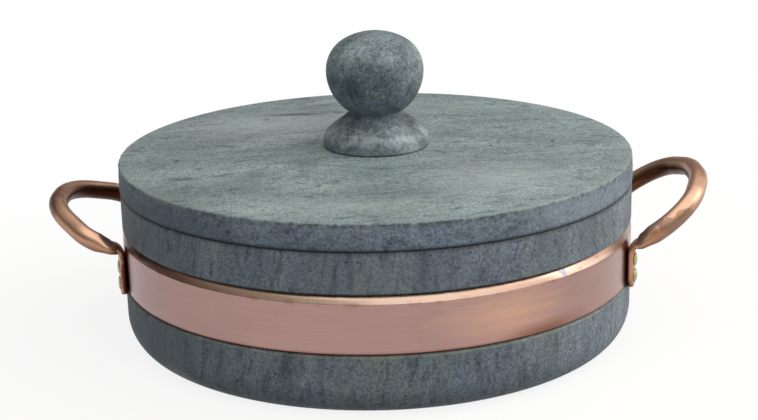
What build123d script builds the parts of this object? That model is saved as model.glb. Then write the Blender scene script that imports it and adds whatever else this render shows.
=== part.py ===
import os
from math import asin, atan2, cos, degrees, radians, sin, sqrt, tan

from build123d import *

# A turned soapstone pot with a flat stone lid, a turned stone knob and a copper
# band that carries two copper tube handles. Millimetres, +Z up. The origin is the
# centre of the flat foot, and the right handle reaches along +X.

# Pot, turned from one block of soapstone
pot_radius = 130.2
pot_height = 79.2
wall_thickness = 12.0
base_thickness = 14.0
foot_round_reach = 11.1
foot_round_height = 14.8
inner_round = 16.0
rim_edge = 0.8

# Groove round the pot wall, and the copper band that stands in it
groove_depth = 3.9
groove_lower_gap = 0.35
groove_upper_gap = 0.2
groove_chamfer = 1.3
groove_upper_edge = 0.9
band_bottom = 30.7
band_width = 27.9
band_sheet = 1.0
band_proud = 0.1
band_bevel_height = 4.0
band_bevel_reach = 2.8
band_lip_round = 0.9
band_edge_fit = 0.1

# Riveted lap that closes the band, at the back of the pot
lap_bearing = 90.0
lap_length = 26.0
lap_margin = 1.2
lap_joggle = 3.0
lap_end_gap = 0.6
lap_fit = 0.05
lap_rivet_spacing = 13.0
lap_rivet_rise = 10.0

# Lid, with a step below that drops into the mouth of the pot
lid_overhang = 0.2
lid_thickness = 13.0
lid_crown = 2.4
lid_seat_radius = 30.0
lid_step_depth = 5.0
lid_step_clearance = 0.8
lid_step_edge = 1.5
lid_top_edge = 1.0
lid_bottom_edge = 0.6
lid_upper_draw = 0.4

# Knob, a separate turned stone, fixed a little to the right of the lid's centre
knob_offset = 0.7
knob_foot_radius = 26.8
knob_foot_edge = 1.0
knob_foot_height = 7.3
knob_shoulder_round = 8.0
knob_neck_radius = 12.9
knob_neck_round = 2.0
knob_ball_radius = 24.7
knob_ball_centre = 38.8
knob_crown_height = 19.7
knob_crown_side_round = 18.0
knob_relief_radius = 19.0
knob_relief_depth = 1.0

# Screw, washer and threaded insert that hold the knob on the lid
screw_radius = 3.0
screw_thread_fit = 0.05
screw_grip = 10.0
screw_hole_clearance = 0.3
screw_head_radius = 6.0
screw_head_height = 3.6
screw_head_edge = 0.8
screw_socket_width = 4.0
screw_socket_depth = 2.0
washer_radius = 9.0
washer_thickness = 1.6
insert_radius = 4.6
insert_length = 12.0
insert_fit = 0.05
insert_well = 1.5
counterbore_radius = 10.0
counterbore_depth = 5.5

# Handles: 9.5 mm copper tube, its ends beaten flat and riveted to the band
tube_radius = 4.75
strap_width = 13.6
strap_thickness = 3.2
strap_tail = 6.1
strap_bend = 5.0
strap_lead = 0.6
half_flat_width = 12.4
half_flat_thickness = 6.2
half_flat_length = 7.0
swelling_length = 13.5
lower_rivet_rise = 3.2
rivet_spacing = 8.5

# Each handle is bent by hand, so the two differ
left_bearing = 177.1
left_spread = 16.5
left_tilt = 23.8
left_strap_free = 2.4
left_leg_length = 12.4
left_leg_half_width = 46.8
left_loop_length = 40.9
left_tip_half_width = 18.3
left_leg_bend = 16.0
left_tip_bend = 38.0

right_bearing = 0.8
right_spread = 17.5
right_tilt = 34.4
right_strap_free = 0.2
right_leg_length = 30.8
right_leg_half_width = 49.8
right_loop_length = 46.9
right_tip_half_width = 11.4
right_leg_bend = 29.0
right_tip_bend = 40.0

# Brass rivets with domed heads
rivet_shank_radius = 1.5
rivet_hole_fit = 0.05
rivet_head_radius = 3.6
left_head_height = 0.9
right_head_height = 1.4
lap_head_height = 1.4
rivet_tail_radius = 2.1
rivet_tail_height = 1.2
rivet_tail_fit = 0.03

quarter_turn = 90

# Levels and radii that follow from the sizes above
band_radius = pot_radius + band_proud
band_inner = band_radius - band_sheet
band_top = band_bottom + band_width
groove_floor = pot_radius - groove_depth
lid_radius = pot_radius + lid_overhang
mouth_radius = pot_radius - wall_thickness
lid_step_radius = mouth_radius - lid_step_clearance
lid_under = pot_height - lid_step_depth
lid_rim_level = pot_height + lid_thickness
lid_top = lid_rim_level + lid_crown
washer_top = lid_under + counterbore_depth
washer_under = washer_top - washer_thickness
strap_centre = band_radius + strap_thickness / 2
lower_rivet_level = band_bottom + lower_rivet_rise
upper_rivet_level = lower_rivet_level + rivet_spacing
strap_bottom = lower_rivet_level - strap_tail
bevel_start = band_top - band_bevel_height
knob_axis = Axis((knob_offset, 0, 0), (0, 0, 1))
lap_inner = band_radius + lap_fit
lap_outer = lap_inner + band_sheet


def turned_edge(rise):
    """Share of a radius that is left at a given share of the height of an ellipse."""
    return sqrt(1 - rise * rise)


def radial_plane(bearing):
    """Plane through the pot's axis whose X runs outward at a bearing and Y runs up."""
    outward = Vector(1, 0, 0).rotate(Axis.Z, bearing)
    return Plane(origin=(0, 0, 0), x_dir=outward, z_dir=outward.cross(Vector(0, 0, 1)))


def bored_through(bearing, level):
    """Hole for a rivet, along a radius of the pot."""
    plane = radial_plane(bearing)
    outward = plane.x_dir
    start = outward * (groove_floor + rivet_tail_height / 2) + Vector(0, 0, level)
    with BuildPart() as hole:
        with BuildSketch(Plane(origin=start, z_dir=outward)):
            Circle(rivet_shank_radius + rivet_hole_fit)
        extrude(amount=strap_centre + strap_thickness - groove_floor)
    return hole.part


def domed_rivet(bearing, level, seat, head_height):
    """Brass rivet: domed head on the outer seat, shank, and a tail peened behind the band."""
    plane = radial_plane(bearing)
    outward = plane.x_dir
    axis = Axis((0, 0, level), (outward.X, outward.Y, 0))
    head_round = (rivet_head_radius**2 + head_height**2) / (2 * head_height)
    crest = seat + head_height
    half_angle = degrees(asin(rivet_head_radius / head_round)) / 2
    middle = (crest - head_round * (1 - cos(radians(half_angle))), level + head_round * sin(radians(half_angle)))
    tail_seat = band_inner - rivet_tail_fit
    tail_end = tail_seat - rivet_tail_height
    with BuildPart() as rivet:
        with BuildSketch(plane):
            with BuildLine():
                Polyline(
                    (crest, level),
                    (tail_end, level),
                    (tail_end, level + rivet_shank_radius),
                    (tail_seat, level + rivet_tail_radius),
                    (tail_seat, level + rivet_shank_radius),
                    (seat, level + rivet_shank_radius),
                    (seat, level + rivet_head_radius),
                )
                ThreePointArc((seat, level + rivet_head_radius), middle, (crest, level))
            make_face()
        revolve(axis=axis)
    return rivet


# Pot body: foot, rounded heel, groove for the band, rim and hollow
with BuildPart() as pot_body:
    with BuildSketch(Plane.XZ):
        with BuildLine():
            groove_bottom = band_bottom - groove_lower_gap
            groove_top = band_top + groove_upper_gap
            heel_reach = pot_radius - foot_round_reach
            Line((0, 0), (heel_reach, 0))
            EllipticalCenterArc(
                (heel_reach, foot_round_height),
                foot_round_reach,
                foot_round_height,
                start_angle=-quarter_turn,
                arc_size=quarter_turn,
            )
            Polyline(
                (pot_radius, foot_round_height),
                (pot_radius, groove_bottom - groove_chamfer),
                (pot_radius - groove_chamfer, groove_bottom),
                (groove_floor, groove_bottom),
                (groove_floor, groove_top),
                (pot_radius - groove_upper_edge, groove_top),
                (pot_radius, groove_top + groove_upper_edge),
                (pot_radius, pot_height - rim_edge),
                (pot_radius - rim_edge, pot_height),
                (mouth_radius + rim_edge, pot_height),
                (mouth_radius, pot_height - rim_edge),
                (mouth_radius, base_thickness + inner_round),
            )
            RadiusArc(
                (mouth_radius, base_thickness + inner_round),
                (mouth_radius - inner_round, base_thickness),
                inner_round,
            )
            Polyline((mouth_radius - inner_round, base_thickness), (0, base_thickness), (0, 0))
        make_face()
    revolve(axis=Axis.Z)

# Copper band: a strip with its top edge beaten inward and its bottom edge turned in
with BuildPart() as copper_band:
    with BuildSketch(Plane.XZ) as band_profile:
        with BuildLine():
            edge_radius = groove_floor + band_edge_fit
            bevel_lean = atan2(band_bevel_reach, band_bevel_height)
            bevel_drop = band_sheet * tan(bevel_lean / 2)
            top_edge = band_radius - band_bevel_reach
            Polyline(
                (band_radius, band_bottom),
                (band_radius, bevel_start),
                (top_edge, band_top),
                (top_edge - band_sheet * cos(bevel_lean), band_top - band_sheet * sin(bevel_lean)),
                (band_inner, bevel_start - bevel_drop),
                (band_inner, band_bottom + band_sheet),
                (edge_radius, band_bottom + band_sheet),
                (edge_radius, band_bottom),
                close=True,
            )
        make_face()
        lip = band_profile.vertices().sort_by_distance((band_radius, band_bottom))[0]
        fillet(lip, radius=band_lip_round)
    revolve(axis=Axis.Z)
    # Free end of the strip, under the lap
    lap_angle = degrees(lap_length / band_radius)
    joggle_angle = degrees(lap_joggle / band_radius)
    slot_bearing = lap_bearing + lap_angle / 2
    slot_outward = radial_plane(slot_bearing).x_dir
    with BuildSketch(Plane(origin=slot_outward * groove_floor, z_dir=slot_outward)):
        with Locations((0, 0)):
            Rectangle(2 * band_top, lap_end_gap)
    extrude(amount=lap_outer - groove_floor, mode=Mode.SUBTRACT)
    # Outer end of the strip, which laps over the free end
    lap_low = band_bottom + band_lip_round + lap_margin
    lap_high = bevel_start - lap_margin
    with BuildSketch(radial_plane(lap_bearing - lap_angle / 2)):
        with BuildLine():
            Polyline(
                (lap_inner, lap_low), (lap_outer, lap_low), (lap_outer, lap_high), (lap_inner, lap_high), close=True
            )
        make_face()
    revolve(axis=Axis.Z, revolution_arc=lap_angle + joggle_angle)
    with BuildSketch(radial_plane(lap_bearing + lap_angle / 2 + joggle_angle / 2)):
        with BuildLine():
            Polyline(
                (band_inner, lap_low), (lap_outer, lap_low), (lap_outer, lap_high), (band_inner, lap_high), close=True
            )
        make_face()
    revolve(axis=Axis.Z, revolution_arc=joggle_angle / 2)

# Lid: a turned disc, a little crowned round the knob's flat seat, with a step below
with BuildPart() as lid:
    with BuildSketch(Plane.XZ) as lid_profile:
        with BuildLine():
            top_reach = lid_radius - lid_upper_draw
            crown_round = ((top_reach - lid_seat_radius) ** 2 + lid_crown**2) / (2 * lid_crown)
            Polyline(
                (lid_seat_radius, lid_top),
                (0, lid_top),
                (0, lid_under),
                (lid_step_radius - lid_step_edge, lid_under),
                (lid_step_radius, lid_under + lid_step_edge),
                (lid_step_radius, pot_height),
                (lid_radius - lid_bottom_edge, pot_height),
                (lid_radius, pot_height + lid_bottom_edge),
                (lid_radius, pot_height + lid_thickness / 2),
                (top_reach, lid_rim_level),
            )
            RadiusArc((top_reach, lid_rim_level), (lid_seat_radius, lid_top), -crown_round)
        make_face()
        rim = lid_profile.vertices().sort_by_distance((top_reach, lid_rim_level))[0]
        fillet(rim, radius=lid_top_edge)
    revolve(axis=Axis.Z)
    # Screw hole, and the recess that takes the washer and the screw head
    with BuildSketch(Plane(origin=(knob_offset, 0, lid_under))):
        Circle(counterbore_radius)
    extrude(amount=counterbore_depth, mode=Mode.SUBTRACT)
    with BuildSketch(Plane(origin=(knob_offset, 0, lid_under))):
        Circle(screw_radius + screw_hole_clearance)
    extrude(amount=lid_top - lid_under, mode=Mode.SUBTRACT)

# Knob: foot, conical shoulder, neck and a ball with a flattened crown
with BuildPart() as lid_knob:
    with BuildSketch(Plane(origin=(knob_offset, 0, 0), x_dir=(1, 0, 0), z_dir=(0, -1, 0))) as knob_profile:
        with BuildLine():
            ball_level = lid_top + knob_ball_centre
            shoulder_level = lid_top + knob_foot_height
            socket_top = lid_top + knob_relief_depth + insert_length + insert_well
            bore = insert_radius + insert_fit
            under = lid_top + knob_relief_depth
            ball_foot = knob_ball_radius * turned_edge(knob_neck_radius / knob_ball_radius)
            Polyline(
                (0, socket_top),
                (bore, socket_top),
                (bore, under),
                (knob_relief_radius, under),
                (knob_relief_radius, lid_top),
                (knob_foot_radius - knob_foot_edge, lid_top),
                (knob_foot_radius, lid_top + knob_foot_edge),
                (knob_foot_radius, shoulder_level),
                (knob_neck_radius, ball_level - ball_foot),
            )
            CenterArc(
                (0, ball_level),
                knob_ball_radius,
                -degrees(asin(ball_foot / knob_ball_radius)),
                degrees(asin(ball_foot / knob_ball_radius)),
            )
            # The flattened crown: a tight arc at the side runs into a wide arc over the top
            side_reach = knob_ball_radius - knob_crown_side_round
            crown_round = (knob_crown_height**2 + side_reach**2 - knob_crown_side_round**2) / (
                2 * (knob_crown_height - knob_crown_side_round)
            )
            crown_centre = ball_level + knob_crown_height - crown_round
            side_sweep = degrees(asin((ball_level - crown_centre) / (crown_round - knob_crown_side_round)))
            CenterArc((side_reach, ball_level), knob_crown_side_round, 0, side_sweep)
            CenterArc((0, crown_centre), crown_round, side_sweep, 90 - side_sweep)
            Line((0, ball_level + knob_crown_height), (0, socket_top))
        make_face()
        shoulder = knob_profile.vertices().sort_by_distance((knob_foot_radius, shoulder_level))[0]
        fillet(shoulder, radius=knob_shoulder_round)
        neck = knob_profile.vertices().sort_by_distance((knob_neck_radius, ball_level - ball_foot))[0]
        fillet(neck, radius=knob_neck_round)
    revolve(axis=knob_axis)

# Threaded insert, bonded into the foot of the knob
with BuildPart() as knob_insert:
    with BuildSketch(Plane(origin=(knob_offset, 0, under))):
        Circle(insert_radius)
        Circle(screw_radius + screw_thread_fit, mode=Mode.SUBTRACT)
    extrude(amount=insert_length)

# Washer under the screw head
with BuildPart() as knob_washer:
    with BuildSketch(Plane(origin=(knob_offset, 0, washer_under))):
        Circle(washer_radius)
        Circle(screw_radius + screw_hole_clearance, mode=Mode.SUBTRACT)
    extrude(amount=washer_thickness)

# Screw, from under the lid up into the insert
with BuildPart() as knob_screw:
    head_under = washer_under - screw_head_height
    with BuildSketch(Plane(origin=(knob_offset, 0, head_under))):
        Circle(screw_head_radius)
    extrude(amount=screw_head_height)
    lower_rim = knob_screw.edges().filter_by(GeomType.CIRCLE).sort_by(Axis.Z)[0]
    fillet(lower_rim, radius=screw_head_edge)
    with BuildSketch(Plane(origin=(knob_offset, 0, washer_under))):
        Circle(screw_radius)
    extrude(amount=under + screw_grip - washer_under)
    with BuildSketch(Plane(origin=(knob_offset, 0, head_under))):
        RegularPolygon(radius=screw_socket_width / 2, side_count=6, major_radius=False)
    extrude(amount=screw_socket_depth, mode=Mode.SUBTRACT)


def oval_face(plane, width, thickness):
    """Section of the tube on a plane, from round to beaten flat, always in four edges."""
    rounding = thickness / width
    corner_x = (width - thickness) / 2 + thickness / 2 * cos(radians(60))
    corner_y = thickness / 2 * (sin(radians(60)) * rounding + 0.94 * (1 - rounding))
    with BuildSketch(plane) as section:
        with BuildLine():
            ThreePointArc((-corner_x, corner_y), (0, thickness / 2), (corner_x, corner_y))
            ThreePointArc((corner_x, corner_y), (width / 2, 0), (corner_x, -corner_y))
            ThreePointArc((corner_x, -corner_y), (0, -thickness / 2), (-corner_x, -corner_y))
            ThreePointArc((-corner_x, -corner_y), (-width / 2, 0), (-corner_x, corner_y))
        make_face()
    return section.sketch


def flattened_end(bearing, neck_height, tilt, side, route):
    """One leg of a handle: the strap on the band, its bend, and the swelling into round tube."""
    plane = radial_plane(bearing)
    outward = plane.x_dir
    across = Vector(0, 0, 1).cross(outward)
    lead = strap_bend * tan(radians(90 - tilt) / 2) + strap_lead
    lead_end = (strap_centre + lead * cos(radians(tilt)), neck_height + lead * sin(radians(tilt)))
    foot = outward * strap_centre + Vector(0, 0, strap_bottom)
    with BuildLine(plane) as strap_route:
        FilletPolyline((strap_centre, strap_bottom), (strap_centre, neck_height), lead_end, radius=strap_bend)
    strap_line = strap_route.wire()
    with BuildPart() as strap:
        add(oval_face(Plane(origin=foot, x_dir=across, z_dir=(0, 0, 1)), strap_width, strap_thickness))
        sweep(path=strap_line)
        # The lower end is cut round
        with BuildSketch(Plane(origin=foot - outward * strap_width, x_dir=across, z_dir=outward)):
            with BuildLine():
                half = strap_width / 2
                reach = neck_height + lead - strap_bottom
                Polyline((-half, half), (-half, reach), (half, reach), (half, half))
                ThreePointArc((half, half), (0, 0), (-half, half))
            make_face()
        extrude(amount=3 * strap_width, mode=Mode.INTERSECT)
    half_share = half_flat_length / route.length
    tube_share = swelling_length / route.length
    if side > 0:
        half_share = 1 - half_share
        tube_share = 1 - tube_share
    half_run = (route % half_share) * -side
    tube_run = (route % tube_share) * -side
    lift = outward * -sin(radians(tilt)) + Vector(0, 0, cos(radians(tilt)))
    half_plane = Plane(origin=route @ half_share, x_dir=lift.cross(half_run), z_dir=half_run)
    tube_plane = Plane(origin=route @ tube_share, x_dir=lift.cross(tube_run), z_dir=tube_run)
    strap_plane = Plane(origin=strap_line @ 1, x_dir=across, z_dir=strap_line % 1)
    sections = [
        oval_face(strap_plane, strap_width, strap_thickness),
        oval_face(half_plane, half_flat_width, half_flat_thickness),
        oval_face(tube_plane, 2 * tube_radius, 2 * tube_radius),
    ]
    with BuildPart() as leg:
        loft(sections=[section.face() for section in sections])
        add(strap.part)
    return leg.part


def tube_handle(bearing, spread, tilt, strap_free, leg_corner, tip_corner, leg_bend, tip_bend):
    """A handle bent from one length of tube in a tilted plane, with a flattened end on each side."""
    outward = Vector(1, 0, 0).rotate(Axis.Z, bearing)
    across = Vector(0, 0, 1).cross(outward)
    along = outward * cos(radians(tilt)) + Vector(0, 0, sin(radians(tilt)))
    bend_start = upper_rivet_level + rivet_head_radius + strap_free
    neck_height = bend_start + strap_bend * tan(radians(90 - tilt) / 2)
    neck_half = strap_centre * sin(radians(spread))
    neck_reach = strap_centre * cos(radians(spread))
    middle = outward * neck_reach + Vector(0, 0, neck_height)
    loop_plane = Plane(origin=middle, x_dir=along, z_dir=along.cross(across))
    with BuildLine(loop_plane) as loop:
        FilletPolyline(
            (0, -neck_half),
            (leg_corner[0], -leg_corner[1]),
            (tip_corner[0], -tip_corner[1]),
            tip_corner,
            leg_corner,
            (0, neck_half),
            radius=[leg_bend, tip_bend, tip_bend, leg_bend],
        )
    route = loop.wire()
    tube_share = swelling_length / route.length
    tube_path = route.trim(tube_share, 1 - tube_share)
    tube_start = Plane(origin=tube_path @ 0, x_dir=loop_plane.z_dir.cross(tube_path % 0), z_dir=tube_path % 0)
    with BuildPart() as handle:
        add(oval_face(tube_start, 2 * tube_radius, 2 * tube_radius))
        sweep(path=tube_path)
        for side in (-1, 1):
            leg_bearing = bearing + side * spread
            add(flattened_end(leg_bearing, neck_height, tilt, side, route))
            for level in (lower_rivet_level, upper_rivet_level):
                add(bored_through(leg_bearing, level), mode=Mode.SUBTRACT)
    return handle


left_handle = tube_handle(
    left_bearing,
    left_spread,
    left_tilt,
    left_strap_free,
    (left_leg_length, left_leg_half_width),
    (left_loop_length, left_tip_half_width),
    left_leg_bend,
    left_tip_bend,
)
right_handle = tube_handle(
    right_bearing,
    right_spread,
    right_tilt,
    right_strap_free,
    (right_leg_length, right_leg_half_width),
    (right_loop_length, right_tip_half_width),
    right_leg_bend,
    right_tip_bend,
)

# Rivets: two through each flattened end, and four through the lap of the band
rivet_seat = band_radius + strap_thickness
rivet_places = {}
for handle_name, bearing, spread, head_height in (
    ("left", left_bearing, left_spread, left_head_height),
    ("right", right_bearing, right_spread, right_head_height),
):
    toward_front = 1 if cos(radians(bearing)) < 0 else -1
    for leg_name, side in (("front", toward_front), ("rear", -toward_front)):
        for level_name, level in (("lower", lower_rivet_level), ("upper", upper_rivet_level)):
            name = f"{handle_name}_{leg_name}_{level_name}_rivet"
            rivet_places[name] = (bearing + side * spread, level, rivet_seat, head_height)
lap_middle = (lap_low + lap_high) / 2
lap_rivet_angle = degrees(lap_rivet_spacing / lap_outer) / 2
for column_name, column in (("right", -1), ("left", 1)):
    for level_name, row in (("lower", -1), ("upper", 1)):
        name = f"band_joint_{column_name}_{level_name}_rivet"
        level = lap_middle + row * lap_rivet_rise / 2
        rivet_places[name] = (lap_bearing + column * lap_rivet_angle, level, lap_outer, lap_head_height)

with copper_band:
    for bearing, level, *_ in rivet_places.values():
        add(bored_through(bearing, level), mode=Mode.SUBTRACT)

rivets = {name: domed_rivet(*place) for name, place in rivet_places.items()}

pieces = {
    "pot_body": pot_body,
    "copper_band": copper_band,
    "left_handle": left_handle,
    "right_handle": right_handle,
    "lid": lid,
    "lid_knob": lid_knob,
    "knob_insert": knob_insert,
    "knob_washer": knob_washer,
    "knob_screw": knob_screw,
    **rivets,
}

os.makedirs("parts", exist_ok=True)
for name, piece in pieces.items():
    piece.part.label = name
    export_step(piece.part, f"parts/{name}.step")
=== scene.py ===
from math import acos, asin, atan2, ceil, cos, exp, pi, radians, sin, sqrt, tan

import bmesh
import bpy
from mathutils import Matrix, Vector, noise


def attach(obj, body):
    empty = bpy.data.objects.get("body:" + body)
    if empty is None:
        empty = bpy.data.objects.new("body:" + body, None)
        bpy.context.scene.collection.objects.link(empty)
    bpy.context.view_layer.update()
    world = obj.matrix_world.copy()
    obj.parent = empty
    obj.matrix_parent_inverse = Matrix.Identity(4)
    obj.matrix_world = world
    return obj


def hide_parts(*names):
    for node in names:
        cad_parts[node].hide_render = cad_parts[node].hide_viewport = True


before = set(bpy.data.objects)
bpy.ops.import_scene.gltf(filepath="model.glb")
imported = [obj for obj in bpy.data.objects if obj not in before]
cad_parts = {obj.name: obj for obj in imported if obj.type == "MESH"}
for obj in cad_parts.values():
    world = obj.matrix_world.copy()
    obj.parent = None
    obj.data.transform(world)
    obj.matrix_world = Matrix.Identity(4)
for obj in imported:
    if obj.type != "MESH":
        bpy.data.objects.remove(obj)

# A turned soapstone pot with a flat stone lid and a turned stone knob. A copper band lies in
# a groove round its wall and carries two loop handles of copper tube. Metres, +Z up; the
# sizes below are in millimetres, and mm turns them to metres.
bpy.context.view_layer.update()
mm = 0.001
scene = bpy.context.scene


# Camera: a little above the lid, almost straight in front, with a slight lean to one side
# as a camera held by hand has. Its lens and place are fitted to the rims of lid and pot.
camera_place = Vector((0, -821.0, 305.9)) * mm
camera_pitch = radians(16.708)
camera_yaw = radians(0.086)
camera_lean = radians(-1.339)
photo_width = 758
focal_pixels = 1657.83

looking = Vector(
    (sin(camera_yaw) * cos(camera_pitch), cos(camera_yaw) * cos(camera_pitch), -sin(camera_pitch))
)
level_right = looking.cross(Vector((0, 0, 1))).normalized()
level_up = level_right.cross(looking)
camera_right = cos(camera_lean) * level_right + sin(camera_lean) * level_up
camera_up = -sin(camera_lean) * level_right + cos(camera_lean) * level_up
camera = bpy.data.objects.new("camera", bpy.data.cameras.new("camera"))
camera.data.sensor_width = 36
camera.data.lens = camera.data.sensor_width * focal_pixels / photo_width
camera_turn = Matrix((camera_right, camera_up, -looking)).transposed().to_4x4()
camera.matrix_world = Matrix.Translation(camera_place) @ camera_turn
camera.data.clip_start = 0.01
scene.collection.objects.link(camera)
scene.camera = camera
scene.view_settings.view_transform = "Standard"


def colour(code):
    """An sRGB hex colour as the linear values that a shader takes."""
    shares = [int(code[place : place + 2], 16) / 255 for place in (1, 3, 5)]
    return [share / 12.92 if share <= 0.04045 else ((share + 0.055) / 1.055) ** 2.4 for share in shares] + [1]


def add_node(tree, kind, given=None):
    """Adds a node. The kind of a shader node is named without its prefix. Lower-case names are
    its properties, the rest its sockets. A socket takes a value, a socket of another node, or
    that node itself, which stands for the first of its outputs in use."""
    if not kind.startswith(("Geometry", "Function", "NodeGroup")):
        kind = "ShaderNode" + kind
    node = tree.nodes.new(kind)
    for key, value in (given or {}).items():
        if isinstance(value, bpy.types.Node):
            value = next(output for output in value.outputs if output.enabled)
        if isinstance(key, str) and key[0].islower():
            setattr(node, key, value)
        elif isinstance(value, bpy.types.NodeSocket):
            tree.links.new(value, node.inputs[key])
        else:
            node.inputs[key].default_value = value
    return node


def add_nodes(tree, kind, keys, rows):
    """Nodes of one kind by name. Each row gives one of them what the keys say, in their order."""
    return {name: add_node(tree, kind, dict(zip(keys, row))) for name, row in rows.items()}


# Floor and light: a pale table, one broad soft panel above and to the right, a smaller one
# low at the right behind, and dim walls, lighter high up, that the copper mirrors as brown.
table_reach = 4.0
table_drop = 0.0002
table_albedo = 0.14
table_glow = 0.86
table_fade = (0.18, 0.4)
wall_starts = (0.05, 0.22)
ceiling_colour = "#523829"
loft_starts = (0.36, 0.64)
loft_colour = "#BFB3A8"
front_aim = (0.5, -0.87, 0)
front_starts = (0.15, 0.75)
front_colour = "#A08E80"
fill_levels = (0.05, 0.3)
fill_colour = "#EEF3FF"


def new_material(name):
    """An empty material, its tree, and the node that tells where a point lies."""
    material = bpy.data.materials.new(name)
    material.use_nodes = True
    material.node_tree.nodes.clear()
    return material, material.node_tree, add_node(material.node_tree, "TexCoord")


def seen_directly(tree):
    """1 for the rays that show a thing: from the camera, off a polished surface or through glass."""
    paths = add_node(tree, "LightPath")
    seen = paths.outputs["Is Camera Ray"]
    for kind in ("Is Glossy Ray", "Is Transmission Ray"):
        seen = add_node(tree, "Math", {"operation": "MAXIMUM", 0: seen, 1: paths.outputs[kind]})
    return seen


table, tree, place = new_material("pale_table")
seen = seen_directly(tree)
glow_level = add_node(tree, "Math", {"operation": "MULTIPLY", 0: seen, 1: table_glow})
glow = add_node(tree, "Emission", {"Color": (1, 1, 1, 1), "Strength": glow_level})
matt = add_node(tree, "BsdfDiffuse", {"Color": (table_albedo, table_albedo, table_albedo, 1)})
both = add_node(tree, "AddShader", {0: glow, 1: matt})
# Away from the pot and its shadow the table turns to plain white
off = add_node(tree, "VectorMath", {"operation": "LENGTH", 0: place.outputs["Object"]})
far = add_node(tree, "MapRange", {
    "interpolation_type": "SMOOTHSTEP", "From Min": table_fade[0], "From Max": table_fade[1], "Value": off,
})
whiten = add_node(tree, "Math", {"operation": "MULTIPLY", 0: far, 1: seen})
white = add_node(tree, "Emission", {"Color": (1, 1, 1, 1), "Strength": 1.0})
whole = add_node(tree, "MixShader", {0: whiten, 1: both, 2: white})
add_node(tree, "OutputMaterial", {"Surface": whole})

table_mesh = bpy.data.meshes.new("table")
corners = [(x * table_reach, y * table_reach, -table_drop) for x, y in ((-1, -1), (1, -1), (1, 1), (-1, 1))]
table_mesh.from_pydata(corners, [], [(0, 1, 2, 3)])
table_mesh.materials.append(table)
table_top = bpy.data.objects.new("table_top", table_mesh)
scene.collection.objects.link(table_top)

world = bpy.data.worlds.new("studio")
scene.world = world
world.use_nodes = True
tree = world.node_tree
tree.nodes.clear()
direction = add_node(tree, "TexCoord")
upward = add_node(tree, "SeparateXYZ", {0: direction.outputs["Generated"]})
frontal = add_node(tree, "VectorMath", {
    "operation": "DOT_PRODUCT", 0: direction.outputs["Generated"], 1: front_aim,
})
shares = add_nodes(tree, "MapRange", ("interpolation_type", "Value", "From Min", "From Max"), {
    "above_horizon": ("SMOOTHSTEP", upward.outputs["Z"], *wall_starts),
    "in_front": ("SMOOTHSTEP", frontal, *front_starts),
    "high_up": ("SMOOTHSTEP", upward.outputs["Z"], *loft_starts),
})
inside = colour(ceiling_colour)
for name, code in {"in_front": front_colour, "high_up": loft_colour}.items():
    inside = add_node(tree, "Mix", {"data_type": "RGBA", 0: shares[name], 6: inside, 7: colour(code)})
room = add_node(tree, "Mix", {"data_type": "RGBA", 0: shares["above_horizon"], 6: (1, 1, 1, 1), 7: inside})
room_light = add_node(tree, "Background", {"Strength": 1.0, "Color": room})
fill_level = add_node(tree, "MapRange", {
    "To Min": fill_levels[0], "To Max": fill_levels[1], "Value": shares["in_front"],
})
fill_light = add_node(tree, "Background", {"Color": colour(fill_colour), "Strength": fill_level})
split = add_node(tree, "MixShader", {0: seen_directly(tree), 1: fill_light, 2: room_light})
add_node(tree, "OutputWorld", {"Surface": split})

panels = {
    "overhead_panel": ((0.3, -0.16, 1.05), (2.2, 1.9), 19.6, "#FFFAF4"),
    "side_panel": ((1.25, 0.25, 0.6), (0.8, 0.9), 6.5, "#FFF8EE"),
}
for name, (place, size, power, tint) in panels.items():
    lamp = bpy.data.lights.new(name, "AREA")
    lamp.shape = "RECTANGLE"
    lamp.size, lamp.size_y = size
    lamp.energy = power
    lamp.color = colour(tint)[:3]
    holder = bpy.data.objects.new(name, lamp)
    aim = Vector((0, 0, 0.06)) - Vector(place)
    holder.matrix_world = Matrix.Translation(place) @ aim.to_track_quat("-Z", "Y").to_matrix().to_4x4()
    scene.collection.objects.link(holder)


# Pot: one block of soapstone turned inside and out, with a rounded heel, a groove for the
# band whose lower edge is chamfered by hand, and a flat rim. Its grain stands upright.
pot_radius = 130.2
pot_height = 79.2
mouth_radius = 118.2
base_thickness = 14.0
inner_round = 16.0
heel_reach = 11.1
heel_height = 14.8
rim_round = 0.9
groove_floor = 126.3
groove_bottom = 30.35
groove_top = 58.8
groove_chamfer = 1.3
groove_upper_edge = 0.9
steps_round_pot = 590


def line_through(corners):
    """Points along runs whose corners are rounded: place, radius, spacing of the next run."""
    places = [Vector(corner[0]) for corner in corners]
    points = [places[0]]
    for at in range(1, len(corners)):
        spacing = corners[at - 1][2]
        rounding = corners[at][1] if at < len(corners) - 1 else 0
        arc = [places[at]]
        if rounding:
            back = (places[at - 1] - places[at]).normalized()
            onward = (places[at + 1] - places[at]).normalized()
            half = back.angle(onward) / 2
            centre = places[at] + (back + onward).normalized() * (rounding / sin(half))
            first = (places[at] + back * (rounding / tan(half)) - centre).normalized()
            last = (places[at] + onward * (rounding / tan(half)) - centre).normalized()
            sweep = pi - 2 * half
            pieces = max(4, ceil(sweep * rounding / corners[at][2]), ceil(sweep / radians(9)))
            arc = [centre + first.slerp(last, share / pieces) * rounding for share in range(pieces + 1)]
        run = arc[0] - points[-1]
        pieces = max(1, round(run.length / spacing))
        points += [points[-1] + run * (share / pieces) for share in range(1, pieces)]
        points += arc
    return points


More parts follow.
